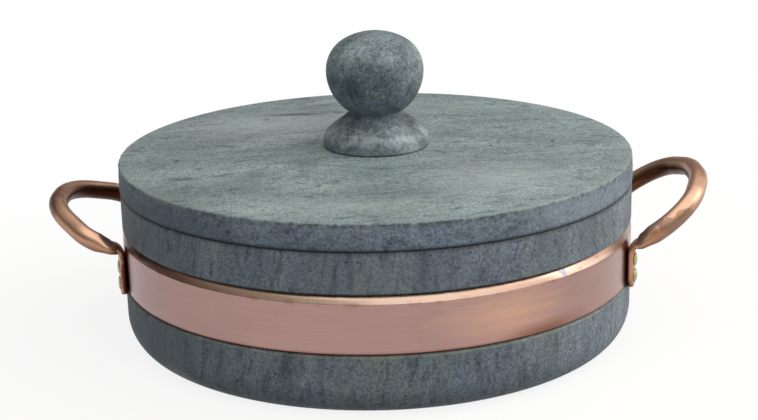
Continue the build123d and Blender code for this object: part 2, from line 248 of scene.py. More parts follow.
def outline_mesh(name, points, worn_places, grimy_places=(), nicked_places=()):
    """A turned outline as a chain of edges, with how worn each point is and how much painted
    shade it takes, in seams and in ragged patches.
    """
    mesh = bpy.data.meshes.new(name)
    mesh.from_pydata([point * mm for point in points], [(at, at + 1) for at in range(len(points) - 1)], [])
    told = (("wear", worn_places, 1.4), ("grime", grimy_places, 0.8), ("nicks", nicked_places, 1.1))
    for kept, places, reach in told:
        mesh.attributes.new(kept, "FLOAT", "POINT")
    for kept, places, reach in told:
        for at, point in enumerate(points):
            near = [exp(-(((point - Vector(place)).length / reach) ** 2)) for place in places]
            mesh.attributes[kept].data[at].value = max(near, default=0)
    return mesh


def begin_tree(name, sizes):
    """An empty geometry tree with named inputs, and its input node."""
    tree = bpy.data.node_groups.new(name, "GeometryNodeTree")
    tree.interface.new_socket("Geometry", in_out="INPUT", socket_type="NodeSocketGeometry")
    for size, kind in sizes.items():
        tree.interface.new_socket(size, in_out="INPUT", socket_type="NodeSocket" + kind)
    tree.interface.new_socket("Geometry", in_out="OUTPUT", socket_type="NodeSocketGeometry")
    return tree, add_node(tree, "NodeGroupInput")


def net_round(tree, given, line_first):
    """A net with a place for each point of the line and each step round it, and for each place
    the number of its point on the line and its angle round it."""
    count = add_node(tree, "GeometryNodeAttributeDomainSize", {
        "component": "MESH", "Geometry": given.outputs["Geometry"],
    })
    steps = given.outputs["Steps Round"]
    columns = add_node(tree, "FunctionNodeIntegerMath", {"operation": "ADD", 0: steps, 1: 1})
    outer, inner = (count, columns) if line_first else (columns, count)
    net = add_node(tree, "GeometryNodeMeshGrid", {"Vertices X": outer, "Vertices Y": inner})
    index = add_node(tree, "GeometryNodeInputIndex")
    whole = add_node(tree, "FunctionNodeIntegerMath", {"operation": "DIVIDE_FLOOR", 0: index, 1: inner})
    rest = add_node(tree, "FunctionNodeIntegerMath", {"operation": "MODULO", 0: index, 1: inner})
    point, step = (whole, rest) if line_first else (rest, whole)
    share = add_node(tree, "Math", {"operation": "DIVIDE", 0: step, 1: steps})
    return net, point, add_node(tree, "Math", {"operation": "MULTIPLY", 0: share, 1: 2 * pi})


def told_by_line(tree, given, point, kinds):
    """The line's own values at a point: its place, and its attributes with their kinds."""
    sources = {"place": ("FLOAT_VECTOR", add_node(tree, "GeometryNodeInputPosition"))}
    for name, kind in kinds.items():
        kept = add_node(tree, "GeometryNodeInputNamedAttribute", {"data_type": kind, "Name": name})
        sources[name] = (kind, kept)
    return add_nodes(tree, "GeometryNodeSampleIndex", ("data_type", "Value", "Geometry", "Index"), {
        name: (*source, given.outputs["Geometry"], point) for name, source in sources.items()
    })


def stored_in_net(tree, net, told):
    """The net with values stored in it by name."""
    for name, value in told.items():
        net = add_node(tree, "GeometryNodeStoreNamedAttribute", {
            "data_type": "FLOAT", "domain": "POINT", "Name": name, "Geometry": net, "Value": value,
        })
    return net


def wrapped(tree, net, places):
    """The net with its points moved to their places, and its doubles merged."""
    placed = add_node(tree, "GeometryNodeSetPosition", {"Geometry": net, "Position": places})
    return add_node(tree, "GeometryNodeMergeByDistance", {"Distance": 0.002 * mm, "Geometry": placed})


def pattern_of(tree, size, settings):
    """A pattern for a geometry tree, the size of its patches being one of the tree's inputs."""
    scale = add_node(tree, "Math", {"operation": "DIVIDE", 0: 1.0, 1: size})
    return add_node(tree, "TexNoise", {**settings, "Scale": scale})


def end_tree(tree, given, mesh, offset=None):
    """Ends a geometry tree: with an offset its surface is moved and smooth; then it becomes a
    real mesh and takes its material."""
    if offset:
        mesh = add_node(tree, "GeometryNodeSetPosition", {"Geometry": mesh, "Offset": offset})
        mesh = add_node(tree, "GeometryNodeSetShadeSmooth", {"Geometry": mesh})
    real = add_node(tree, "GeometryNodeRealizeInstances", {"Geometry": mesh})
    done = add_node(tree, "GeometryNodeSetMaterial", {
        "Geometry": real, "Material": given.outputs["Material"],
    })
    add_node(tree, "NodeGroupOutput", {0: done})


# The lathe: each outline is turned round the pot's axis, then given the slight waver of
# hand turning and small chips along the edges that wear.
kept_by_outline = dict.fromkeys(("wear", "grime", "nicks"), "FLOAT")
lathe_sizes = dict.fromkeys(("Waver", "Waver Size", "Chip Depth", "Chip Size", "Seed"), "Float")
lathe, given = begin_tree(
    "turned_on_the_lathe", {"Steps Round": "Int", **lathe_sizes, "Material": "Material"}
)
net, point, angle = net_round(lathe, given, line_first=False)
told = told_by_line(lathe, given, point, kept_by_outline)
turned = add_node(lathe, "VectorRotate", {
    "rotation_type": "Z_AXIS", "Vector": told.pop("place"), "Angle": angle,
})
form = wrapped(lathe, stored_in_net(lathe, net, told), turned)
seeded = {"noise_dimensions": "4D", "W": given.outputs["Seed"]}
waver = pattern_of(lathe, given.outputs["Waver Size"], {**seeded, "Detail": 2.0})
waver_level = add_node(lathe, "MapRange", {"clamp": False, "To Min": -1.0, "To Max": 0.6, "Value": waver})
waver_out = add_node(lathe, "Math", {"operation": "MULTIPLY", 0: waver_level, 1: given.outputs["Waver"]})
chips = pattern_of(lathe, given.outputs["Chip Size"], {**seeded, "Detail": 3.0, "Roughness": 0.6})
chip_shape = add_node(lathe, "MapRange", {"From Min": 0.52, "From Max": 0.74, "Value": chips})
now_worn = add_node(lathe, "GeometryNodeInputNamedAttribute", {"data_type": "FLOAT", "Name": "wear"})
chip_here = add_node(lathe, "Math", {"operation": "MULTIPLY", 0: chip_shape, 1: now_worn})
chip_in = add_node(lathe, "Math", {"operation": "MULTIPLY", 0: chip_here, 1: given.outputs["Chip Depth"]})
change = add_node(lathe, "Math", {"operation": "SUBTRACT", 0: waver_out, 1: chip_in})
facing = add_node(lathe, "GeometryNodeInputNormal")
offset = add_node(lathe, "VectorMath", {"operation": "SCALE", 0: facing, "Scale": change})
sideways = add_node(lathe, "VectorMath", {"operation": "MULTIPLY", 0: offset, 1: (1, 1, 0)})
end_tree(lathe, given, form, sideways)


def made_by(tree, name, source, **sizes):
    """The plain mesh that a geometry tree makes of a source mesh, as a piece of its own."""
    holder = bpy.data.objects.new(name + "_source", source)
    scene.collection.objects.link(holder)
    maker = holder.modifiers.new("maker", "NODES")
    maker.node_group = tree
    for socket in tree.interface.items_tree:
        wanted = socket.name.lower().replace(" ", "_")
        if socket.in_out == "INPUT" and wanted in sizes:
            maker[socket.identifier] = sizes[wanted]
    graph = bpy.context.evaluated_depsgraph_get()
    mesh = bpy.data.meshes.new_from_object(holder.evaluated_get(graph))
    holder.modifiers.remove(maker)
    bpy.data.objects.remove(holder)
    return piece_of(name, mesh)


def piece_of(name, mesh):
    """A piece whose faces all point outwards, at the origin."""
    form = bmesh.new()
    form.from_mesh(mesh)
    bmesh.ops.recalc_face_normals(form, faces=form.faces)
    if form.calc_volume(signed=True) < 0:
        bmesh.ops.reverse_faces(form, faces=form.faces)
    form.to_mesh(mesh)
    form.free()
    mesh.name = name
    piece = bpy.data.objects.new(name, mesh)
    scene.collection.objects.link(piece)
    return piece


def with_marks(tree, place, ragged_by, laid, marks):
    """A colour with single marks laid over it, of the piece's own colour and of painted light and shade, and
    the marks' own share.
    Each mark: where it lies and how far it reaches in mm, its colour, strength and softness."""
    raggedness = 1.1
    mark_edge = 1.52
    share = None
    for spot, reach, code, strength, softness in marks:
        apart = add_node(tree, "VectorMath", {
            "operation": "SUBTRACT", 0: place.outputs["Object"], 1: Vector(spot) * mm,
        })
        scaled = add_node(tree, "VectorMath", {"operation": "DIVIDE", 0: apart, 1: Vector(reach) * mm})
        away = add_node(tree, "VectorMath", {"operation": "LENGTH", 0: scaled})
        ragged = add_node(tree, "Math", {"operation": "MULTIPLY_ADD", 0: ragged_by, 1: raggedness, 2: away})
        inside = add_node(tree, "MapRange", {
            "From Min": mark_edge - softness, "From Max": mark_edge, "To Min": strength, "To Max": 0.0,
            "Value": ragged,
        })
        laid = add_node(tree, "Mix", {"data_type": "RGBA", 0: inside, 6: laid, 7: colour(code)})
        if share is None:
            share = inside
        else:
            share = add_node(tree, "Math", {"operation": "MAXIMUM", 0: share, 1: inside})
    return laid, share


def laid_over(tree, laid, layers):
    """A colour with layers laid over it, each told by its way of blending, share and colour."""
    for blend, share, code in layers:
        laid = add_node(tree, "Mix", {
            "data_type": "RGBA", "blend_type": blend, 0: share, 6: laid, 7: colour(code),
        })
    return laid


def surface_of(material, base, rough, heights, bump_strength, bump_depth, settings):
    """The material, ended with its shader: colour, roughness, bumps of a depth in mm, and the
    shader's other settings."""
    tree = material.node_tree
    bumps = add_node(tree, "Bump", {
        "Strength": bump_strength, "Distance": bump_depth * mm, "Height": heights,
    })
    shader = add_node(tree, "BsdfPrincipled", {
        **settings, "Base Color": base, "Roughness": rough, "Normal": bumps,
    })
    add_node(tree, "OutputMaterial", {"Surface": shader})
    return material


pattern_keys = ("Vector", "Scale", "Detail", "Roughness", "Distortion")
share_keys = ("Value", "From Min", "From Max", "To Min", "To Max")


def soapstone(
    name, grain_turn, grain_stretch, dark, pale, green, cool, warm, rubbed, vein_share, rust_share, marks
):
    """Turned soapstone: matt, slightly oily blue-grey to green, with soft drawn-out clouds,
    dark veins along the grain, a fine sugary grit, pale flecks of talc and rusty specks.
    Faces that look up take a painted tint of the light from above, edges are worn pale,
    and seams, and ragged patches below the lid's rim, take painted shade."""
    bend_size = 60
    bend_reach = 20
    speck_spacing = 6.0
    material, tree, place = new_material(name)
    spot = place.outputs["Object"]
    # The grain runs along the mapping's Z, where the pattern is drawn out
    grain = add_node(tree, "Mapping", {
        "vector_type": "TEXTURE", "Rotation": grain_turn, "Scale": (1, 1, grain_stretch), "Vector": spot,
    })
    bend = add_node(tree, "TexNoise", {"Scale": 1 / (bend_size * mm), "Detail": 2.0, "Vector": spot})
    bent = add_node(tree, "VectorMath", {
        "operation": "MULTIPLY_ADD", 0: bend.outputs["Color"], 1: (bend_reach * mm,) * 3, 2: grain,
    })
    noises = add_nodes(tree, "TexNoise", pattern_keys, {
        "clouds": (bent, 1 / (24.0 * mm), 5.0, 0.62, 0.3),
        "tint": (bent, 1 / (34.0 * mm), 3.0, 0.62, 0.3),
        "veins": (bent, 1 / (3.6 * mm), 3.0, 0.62, 0.3),
        "minerals": (grain, 1 / (4.5 * mm), 4.0, 0.62, 0.3),
        "grit": (spot, 1 / (1.3 * mm), 3.0, 0.62, 0.3),
        "flecks": (spot, 1 / (2.2 * mm), 1.5, 0.62, 0.3),
    })
    upward = add_node(tree, "SeparateXYZ", {0: place.outputs["Normal"]})
    ragged_rise = add_node(tree, "Math", {
        "operation": "MULTIPLY_ADD", 0: noises["minerals"], 1: 0.9, 2: upward.outputs["Z"],
    })
    # Noise that breaks the painted shade below the lid's rim into ragged patches
    ragged_shade_noise = add_node(tree, "Math", {"operation": "ADD", 0: noises["flecks"], 1: noises["minerals"]})
    # Each cell's own size for its speck of rust: most cells have none
    specks = add_node(tree, "TexVoronoi", {"Scale": 1 / (speck_spacing * mm), "Vector": spot})
    speck_kind = add_node(tree, "SeparateColor", {0: specks.outputs["Color"]})
    shares = add_nodes(tree, "MapRange", share_keys, {
        "pale": (noises["clouds"], 0.34, 0.66, 0, 1),
        "green": (noises["tint"], 0.45, 0.7, 0, 0.6),
        "warm": (noises["minerals"], 0.38, 0.62, 0, 1),
        "veined": (noises["veins"], 0.52, 0.7, 0, vein_share),
        "gritty": (noises["grit"], 0.3, 0.7, 0.5, 1.5),
        "flecked": (noises["flecks"], 0.6, 0.74, 0, 0.5),
        "speck": (speck_kind, 1 - rust_share, 1.0, 0, 0.12),
        "rubbed": (ragged_rise, 0.95, 1.3, 0, 1),
        "worn": (noises["minerals"], 0.4, 0.7, 0, 0.5),
        "nicked": (ragged_shade_noise, 1.02, 0.9, 0, 0.75),
        "rough": (noises["clouds"], 0.3, 0.7, 0.5, 0.72),
    })
    tinted = laid_over(tree, colour(dark), [("MIX", shares["pale"], pale), ("MIX", shares["green"], green)])
    hue = add_node(tree, "Mix", {
        "data_type": "RGBA", 0: shares["warm"], 6: colour(cool), 7: colour(warm),
    })
    mixed = add_node(tree, "VectorMath", {"operation": "MULTIPLY", 0: tinted, 1: hue})
    veined = add_node(tree, "Mix", {
        "data_type": "RGBA", "blend_type": "MULTIPLY", 0: shares["veined"], 6: mixed, 7: colour("#5F6E6C"),
    })
    gritty = add_node(tree, "VectorMath", {"operation": "SCALE", 0: veined, "Scale": shares["gritty"]})
    speck_near = add_node(tree, "Math", {
        "operation": "LESS_THAN", 0: specks.outputs["Distance"], 1: shares["speck"],
    })
    speck_share = add_node(tree, "Math", {"operation": "MULTIPLY", 0: speck_near, 1: 0.85})
    laid = laid_over(tree, gritty, [
        ("MIX", shares["flecked"], "#B4B8AE"),
        ("MIX", speck_share, "#45281C"),
        # Painted light: faces that look up take a tint that stands in for the light from above
        ("MULTIPLY", shares["rubbed"], rubbed),
    ])
    laid = with_marks(tree, place, noises["minerals"], laid, marks)[0]
    # Pale wear on worn edges; painted shade in seams and creases, and ragged painted shade below the lid's
    # rim edge
    for name, most, code in (
        ("wear", shares["worn"], "#A3ABA6"),
        ("nicks", shares["nicked"], "#39444A"),
        ("grime", 0.85, "#1C2224"),
    ):
        told = add_node(tree, "Attribute", {"attribute_name": name})
        share = add_node(tree, "Math", {"operation": "MULTIPLY", 0: told.outputs["Fac"], 1: most})
        laid = add_node(tree, "Mix", {"data_type": "RGBA", 0: share, 6: laid, 7: colour(code)})
    heights = add_node(tree, "Math", {
        "operation": "MULTIPLY_ADD", 0: noises["veins"], 1: 0.5, 2: noises["grit"],
    })
    settings = {"IOR": 1.54, "Specular IOR Level": 0.25}
    return surface_of(material, laid, shares["rough"], heights, 0.5, bump_depth=0.22, settings=settings)


pot_stone = soapstone(
    "turned_soapstone_upright_grain",
    grain_turn=(radians(6), radians(9), 0),
    grain_stretch=5.0,
    dark="#717F8F",
    pale="#ADBAC5",
    green="#8FA09F",
    cool="#ECEFF5",
    warm="#F5F2E9",
    rubbed="#FCF9EE",
    vein_share=0.6,
    rust_share=0.6,
    marks=[
        # Dust and dull copper colour rubbed into the lower edge of the groove
        ((0, 0, 29.2), (900, 900, 1.6), "#75725E", 0.4, 0.9),
        # Painted shade on the wall at the left, away from the light, and broad darker zones at the right
        ((-118, -56, 18), (66, 86, 40), "#566270", 0.55, 0.9),
        ((-112, -66, 66), (44, 60, 16), "#66737E", 0.25, 0.9),
        ((92, -92, 68), (46, 46, 16), "#6C7880", 0.4, 0.9),
        ((126, -30, 68), (20, 40, 16), "#6F7A80", 0.4, 0.9),
        # A painted lighter patch high on the wall at the front, where the light falls
        ((0, -130, 68), (60, 30, 16), "#8F9A9F", 0.35, 0.9),
        # Dark streaks down the upper wall, and specks of rust under the lid
        ((-19.4, -128.7, 68), (1.9, 8, 14), "#4A5A60", 0.45, 0.9),
        ((-12, -129.6, 66), (2.2, 8, 13), "#4A5A60", 0.5, 0.9),
        ((20, -128.7, 67), (2.4, 8, 12), "#4A5A60", 0.35, 0.9),
        ((-14.2, -129.4, 74.6), (0.6, 0.9, 0.6), "#45281C", 0.85, 0.2),
        ((-8.9, -129.9, 74.6), (0.6, 0.9, 0.6), "#45281C", 0.85, 0.2),
        ((9.9, -129.8, 74.1), (0.5, 0.9, 0.5), "#45281C", 0.85, 0.2),
        ((23.2, -128.1, 76.4), (0.6, 0.9, 0.6), "#45281C", 0.85, 0.2),
    ],
)
heel = []
for turn in range(-90, 1, 6):
    outward = pot_radius - heel_reach + heel_reach * cos(radians(turn))
    heel.append(((outward, 0, heel_height + heel_height * sin(radians(turn))), 0, 1.6))
pot_corners = [
    ((0, 0, 0), 0, 12),
    *heel,
    ((pot_radius, 0, groove_bottom - groove_chamfer), 0.4, 0.7),
    ((pot_radius - groove_chamfer, 0, groove_bottom), 0.4, 1.0),
    ((groove_floor, 0, groove_bottom), 0.3, 7),
    ((groove_floor, 0, groove_top), 0.3, 1.2),
    ((pot_radius - groove_upper_edge, 0, groove_top), 0.2, 0.6),
    ((pot_radius, 0, groove_top + groove_upper_edge), 0.3, 1.6),
    ((pot_radius, 0, pot_height), rim_round, 2.5),
    ((mouth_radius, 0, pot_height), rim_round, 4),
    ((mouth_radius, 0, base_thickness), inner_round, 4.5),
    ((0, 0, base_thickness), 0, 5),
]
pot_outline = outline_mesh(
    "pot_outline",
    line_through(pot_corners),
    [
        (pot_radius, 0, groove_bottom - groove_chamfer),
        (pot_radius - groove_chamfer, 0, groove_bottom),
        (pot_radius, 0, groove_top + groove_upper_edge),
        (mouth_radius, 0, pot_height),
    ],
    # Seams and creases that take painted shade
    [
        (pot_radius - 0.2, 0, pot_height - 0.2),
        (pot_radius - groove_upper_edge, 0, groove_top),
        (groove_floor + 2, 0, groove_bottom),
    ],
)
pot = made_by(
    lathe,
    "pot",
    pot_outline,
    steps_round=steps_round_pot,
    waver=0.08 * mm,
    waver_size=34 * mm,
    chip_depth=0.55 * mm,
    chip_size=3.4 * mm,
    seed=3.0,
    material=pot_stone,
)
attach(pot, "pot")
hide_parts("pot_body")


# Lid: a flat turned disc of soapstone, a little wider than the pot. A step below drops into
# the mouth, and a recess takes the head of the knob's screw. Its grain lies level.
lid_radius = 130.4
lid_rim_level = 92.2
lid_crown = 2.4
lid_top = lid_rim_level + lid_crown
lid_seat_radius = 30.0
lid_seat_blend = 14.0
crown_steps = 30
lid_reach = lid_radius - 0.4
lid_step_radius = 117.4
lid_under = 74.2
lid_edge_round = 1.0
knob_offset = 0.7
screw_hole = 3.3
counterbore_radius = 10.0
washer_top = 79.7
lid_stone = soapstone(
    "turned_soapstone_level_grain",
    grain_turn=(0, radians(90), radians(4)),
    grain_stretch=2.6,
    dark="#7A899A",
    pale="#A6B6C6",
    green="#96A7B4",
    cool="#EEF1F4",
    warm="#F3F3EE",
    rubbed="#F1F4E4",
    vein_share=0.6,
    rust_share=0.1,
    marks=[
        # The top is paler towards its rim and darker in patches just round the knob
        ((-60, 50, 94), (60, 50, 4), "#B4C2C2", 0.4, 0.9),
        ((60, -62, 94), (56, 44, 4), "#B6C4C5", 0.35, 0.9),
        ((-20, -106, 93), (60, 16, 2), "#B4C0BE", 0.35, 0.9),
        ((37, 21, 94.6), (14, 13, 2), "#56646A", 0.5, 0.9),
        ((-35.9, -34.2, 94.5), (12, 13, 2), "#56646A", 0.65, 0.9),
        ((-58, -52, 94.2), (9, 11, 2), "#5E6C72", 0.5, 0.9),
        ((-34, 4, 94.5), (9, 12, 2), "#56646A", 0.4, 0.9),
        # Small pits and dark smears in the top
        ((90.8, 0.4, 93.7), (1.6, 3.4, 1), "#3C474E", 0.8, 0.6),
        ((70.9, -99.5, 92.6), (3.0, 2.0, 1), "#3C474E", 0.7, 0.6),
        ((58.5, -7.4, 94.4), (1.5, 2.8, 1), "#3C474E", 0.8, 0.6),
        ((-99.3, -20.4, 93.4), (1.7, 3.6, 1), "#3C474E", 0.85, 0.6),
        ((-59.1, 62.8, 93.8), (2.4, 5, 1), "#4C595F", 0.7, 0.8),
        ((-44, 73, 94), (26, 5, 2), "#46535A", 0.9, 0.7),
        ((-20, 74, 94), (5, 5, 2), "#46535A", 0.7, 0.8),
        ((-93, -53.5, 93), (12, 4, 2), "#4C595F", 0.8, 0.7),
        # The top's green runs a little down the side; the rim's side has painted shade at the left
        # and a painted lighter patch at the right front, where the light falls
        ((0, 0, 90.9), (900, 900, 1.7), "#8A9A98", 0.6, 0.8),
        ((-104, -78, 83), (110, 110, 10), "#55616E", 0.5, 0.9),
        ((94, -90, 85), (56, 56, 9), "#A3B0BA", 0.5, 0.9),
        # Pits along the rim at the front left
        ((-103.2, -79.7, 92.7), (2.2, 2.2, 0.9), "#2C363B", 0.75, 0.4),
        ((-78.1, -104.4, 92.4), (1.6, 1.6, 0.9), "#2C363B", 0.7, 0.4),
        ((-67, -111.9, 84.4), (2.6, 1.6, 1.5), "#36424A", 0.6, 0.5),
        ((-71, -109.4, 86.8), (1.7, 1.6, 1.1), "#36424A", 0.6, 0.5),
    ],
)
crown = []
for step in range(crown_steps):
    outward = lid_seat_radius + (lid_reach - lid_seat_radius) * step / crown_steps
    crown.append(((outward, 0, lid_top - lid_crown * (step / crown_steps) ** 2), 0, 3.4))
lid_corners = [
    ((screw_hole, 0, lid_top), 0, 3),
    *crown,
    ((lid_reach, 0, lid_rim_level), lid_edge_round, 1.3),
    ((lid_radius, 0, 85.7), 0, 1.1),
    ((lid_radius, 0, pot_height), 0.7, 1.5),
    ((lid_step_radius, 0, pot_height), 0.2, 1.2),
    ((lid_step_radius, 0, lid_under), 1.5, 6),
    ((counterbore_radius, 0, lid_under), 0.5, 1.5),
    ((counterbore_radius, 0, washer_top), 0.2, 2.5),
    ((screw_hole, 0, washer_top), 0.2, 3),
    ((screw_hole, 0, lid_top), 0, 1),
]
lid_outline = outline_mesh(
    "lid_outline",
    line_through(lid_corners),
    [(lid_radius - 0.7, 0, lid_rim_level - 0.4), (lid_step_radius, 0, lid_under)],
    # A seam that takes painted shade, then the edge below the rim that takes ragged painted shade
    [(lid_radius - 0.2, 0, pot_height + 0.2)],
    [(lid_radius - 0.1, 0, lid_rim_level - 1.2)],
)
lid = made_by(
    lathe,
    "lid_disc",
    lid_outline,
    steps_round=steps_round_pot,
    waver=0.08 * mm,
    waver_size=30 * mm,
    chip_depth=0.6 * mm,
    chip_size=3.0 * mm,
    seed=11.0,
    material=lid_stone,
)
# The screw hole and its recess stand under the knob, a little to the right of the centre
for point in lid.data.vertices:
    from_centre = Vector((point.co.x, point.co.y)).length / mm
    point.co.x += knob_offset * mm * min(1, max(0, (lid_seat_radius - 2 - from_centre) / lid_seat_blend))
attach(lid, "lid")
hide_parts("lid")


# Knob: a separate turned stone with a foot, a conical shoulder, a neck and a ball with a
# flattened crown. A relief under the foot makes it stand on its rim alone.
knob_foot_radius = 26.8
knob_foot_height = 7.3
knob_shoulder_round = 8.0
knob_neck_radius = 12.9
ball_radius = 24.7
ball_level = lid_top + 38.8
crown_height = 19.7
crown_side_round = 18.0
relief_radius = 19.0
relief_top = lid_top + 1.0
insert_bore = 4.65
socket_top = relief_top + 13.5

side_reach = ball_radius - crown_side_round
crown_round = crown_height**2 + side_reach**2 - crown_side_round**2
crown_round /= 2 * (crown_height - crown_side_round)
crown_centre = ball_level + crown_height - crown_round
side_sweep = asin((ball_level - crown_centre) / (crown_round - crown_side_round))
ball_start = -acos(knob_neck_radius / ball_radius)


def arc_corners(centre_radius, centre_level, radius, start, stop, pieces):
    """Points on an arc of a turned outline, as corners that need no rounding."""
    corners = []
    for piece in range(pieces + 1):
        turn = start + (stop - start) * piece / pieces
        corners.append(((centre_radius + radius * cos(turn), 0, centre_level + radius * sin(turn)), 0, 1.0))
    return corners


knob_corners = [
    ((0, 0, socket_top), 0, 3),
    ((insert_bore, 0, socket_top), 0.2, 3),
    ((insert_bore, 0, relief_top), 0.2, 3),
    ((relief_radius, 0, relief_top), 0.2, 1),
    ((relief_radius, 0, lid_top), 0.2, 2),
    ((knob_foot_radius, 0, lid_top), 1.1, 0.9),
    ((knob_foot_radius, 0, lid_top + knob_foot_height), knob_shoulder_round, 0.9),
    ((knob_neck_radius, 0, ball_level - ball_radius * sin(-ball_start)), 0, 0.8),
    *arc_corners(0, ball_level, ball_radius, ball_start + radians(2), 0, 34),
    *arc_corners(side_reach, ball_level, crown_side_round, side_sweep / 14, side_sweep, 13),
    *arc_corners(0, crown_centre, crown_round, side_sweep + (pi / 2 - side_sweep) / 16, pi / 2, 15),
]
knob_outline = outline_mesh(
    "knob_outline",
    line_through(knob_corners),
    [(knob_foot_radius, 0, lid_top + 2)],
    # The crease under the foot takes painted shade
    [(knob_foot_radius - 0.8, 0, lid_top)],
)
knob_stone = soapstone(
    "turned_soapstone_knob",
    grain_turn=(radians(24), radians(-16), 0),
    grain_stretch=1.7,
    dark="#56676F",
    pale="#AABBC3",
    green="#80949A",
    cool="#ECEFF5",
    warm="#F5F2E9",
    rubbed="#DADCDD",
    vein_share=0.6,
    rust_share=0.05,
    marks=[
        ((-11.4, -21.3, 129.2), (9, 9, 7.5), "#39464A", 0.6, 0.6),
        ((-19, -14, 131), (6, 7, 5), "#39464A", 0.5, 0.6),
        ((0.7, 0, 101), (32, 32, 8), "#D4DEDE", 0.95, 0.8),
        ((-12, -14, 109), (5, 5, 4), "#39464A", 0.5, 0.6),
    ],
)
knob = made_by(
    lathe,
    "knob",
    knob_outline,
    steps_round=300,
    waver=0.12 * mm,
    waver_size=11 * mm,
    chip_depth=0.4 * mm,
    chip_size=2.6 * mm,
    seed=23.0,
    material=knob_stone,
)
knob.data.transform(Matrix.Translation((knob_offset * mm, 0, 0)))
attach(knob, "lid")
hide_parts("lid_knob")


# Knob fixings: a steel screw and washer under the lid, and a brass insert in the knob. They
# are turned parts as the CAD has them, so they keep its meshes.
def plain_metal(name, base, roughness, smear):
    """Turned or peened metal: an even sheen with faint turning marks and dull spots."""
    material, tree, place = new_material(name)
    dull = add_node(tree, "TexNoise", {
        "Scale": 1 / (1.6 * mm), "Detail": 3.0, "Vector": place.outputs["Object"],
    })
    shares = add_nodes(tree, "MapRange", share_keys, {
        "smeared": (dull, 0.45, 0.7, 0, 0.8),
        "rough": (dull, 0, 1, roughness, roughness + 0.25),
    })
    laid = add_node(tree, "Mix", {
        "data_type": "RGBA", 0: shares["smeared"], 6: colour(base), 7: colour(smear),
    })
    return surface_of(material, laid, shares["rough"], dull, 0.3, bump_depth=0.08, settings={"Metallic": 1.0})


turned_steel = plain_metal("turned_stainless_steel", "#B9BBBC", 0.28, "#9A9C9D")
turned_brass = plain_metal("turned_brass", "#C3A468", 0.3, "#9C8556")
fixings = {"knob_screw": turned_steel, "knob_washer": turned_steel, "knob_insert": turned_brass}
for node, metal in fixings.items():
    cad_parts[node].material_slots[0].material = metal


# Copper band: one strip of rolled copper sheet laid round the pot in its groove, its top
# edge beaten inward, its lower edge turned in, and its ends lapped and riveted at the back.
band_radius = 130.3
band_sheet = 1.0
band_inner = band_radius - band_sheet
band_bottom = 30.7
band_top = 58.6
bevel_height = 4.0
bevel_reach = 2.8
bevel_start = band_top - bevel_height
bevel_lean = atan2(bevel_reach, bevel_height)
lip_round = 0.9
edge_radius = groove_floor + 0.1
lap_bearing = 90.0
lap_length = 26.0
lap_joggle = 3.0
lap_gap = 0.6
lap_inner = band_radius + 0.05
lap_outer = lap_inner + band_sheet
lap_low = band_bottom + lip_round + 1.2
lap_high = bevel_start - 1.2


def copper(
    name, streak_stretch, ragged_stretch, clean, warm, low_rough, high_rough,
    patches, patch_colour, painted_under_shade, painted_top_light, marks,
):
    """Rolled copper: a soft metallic sheen in dusty pink, faint streaks along the rolling,
    dull handled areas, and browned patches where it has been touched or heated."""
    material, tree, place = new_material(name)
    spot = place.outputs["Object"]
    drawn_out = add_nodes(tree, "Mapping", ("vector_type", "Scale", "Vector"), {
        "rolling": ("TEXTURE", streak_stretch, spot),
        "ragged": ("TEXTURE", ragged_stretch, spot),
    })
    noises = add_nodes(tree, "TexNoise", pattern_keys, {
        "streaks": (drawn_out["rolling"], 1 / (0.9 * mm), 4.0, 0.6, 0),
        "clouds": (spot, 1 / (28 * mm), 4.0, 0.5, 0),
        "stains": (spot, 1 / (9 * mm), 5.0, 0.62, 0),
        "ragged": (drawn_out["ragged"], 1 / (3.5 * mm), 4.0, 0.6, 0),
    })
    shares = add_nodes(tree, "MapRange", share_keys, {
        "warm": (noises["clouds"], 0.4, 0.7, 0, 1),
        "streaked": (noises["streaks"], 0.25, 0.75, 0.94, 1.05),
        "stained": (noises["stains"], 0.62, 0.72, 0, patches),
        "scuffed": (noises["stains"], 0.5, 0.62, 0, 0.5),
        "rough": (noises["clouds"], 0.3, 0.7, low_rough, high_rough),
    })
    base = add_node(tree, "Mix", {
        "data_type": "RGBA", 0: shares["warm"], 6: colour(clean), 7: colour(warm),
    })
    laid = add_node(tree, "VectorMath", {"operation": "SCALE", 0: base, "Scale": shares["streaked"]})
    facing = add_node(tree, "SeparateXYZ", {0: place.outputs["Normal"]})
    inner = add_node(tree, "Attribute", {"attribute_name": "inner"})
    # Painted light: shade on what looks down, highlight on what looks up, shade inside a loop
    for told, starts, ends, most, blend, code in (
        (facing.outputs["Z"], 0.2, -0.75, 1, "MULTIPLY", painted_under_shade),
        (facing.outputs["Z"], 0.2, 0.5, 0.8, "MIX", painted_top_light),
        (inner.outputs["Fac"], 0.3, 0.95, 0.9, "MULTIPLY", "#80604F"),
    ):
        share = add_node(tree, "MapRange", {
            "interpolation_type": "SMOOTHSTEP", "From Min": starts, "From Max": ends, "To Max": most,
            "Value": told,
        })
        laid = add_node(tree, "Mix", {
            "data_type": "RGBA", "blend_type": blend, 0: share, 6: laid, 7: colour(code),
        })
    laid, marked = with_marks(tree, place, noises["ragged"], laid, marks)
    # Stains and marks, among them painted reflection and shade, are a little rougher
    stained_and_marked = add_node(tree, "Math", {"operation": "MAXIMUM", 0: shares["stained"], 1: marked})
    rough = add_node(tree, "Math", {"operation": "MULTIPLY_ADD", 0: stained_and_marked, 1: 0.08, 2: shares["rough"]})
    wear = add_node(tree, "Attribute", {"attribute_name": "wear"})
    scuffed = add_node(tree, "Math", {
        "operation": "MULTIPLY", 0: shares["scuffed"], 1: wear.outputs["Fac"],
    })
    laid = laid_over(tree, laid, [("MIX", shares["stained"], patch_colour), ("MIX", scuffed, "#8A5F50")])
    settings = {"Metallic": 1.0}
    return surface_of(material, laid, rough, noises["streaks"], 0.16, bump_depth=0.03, settings=settings)


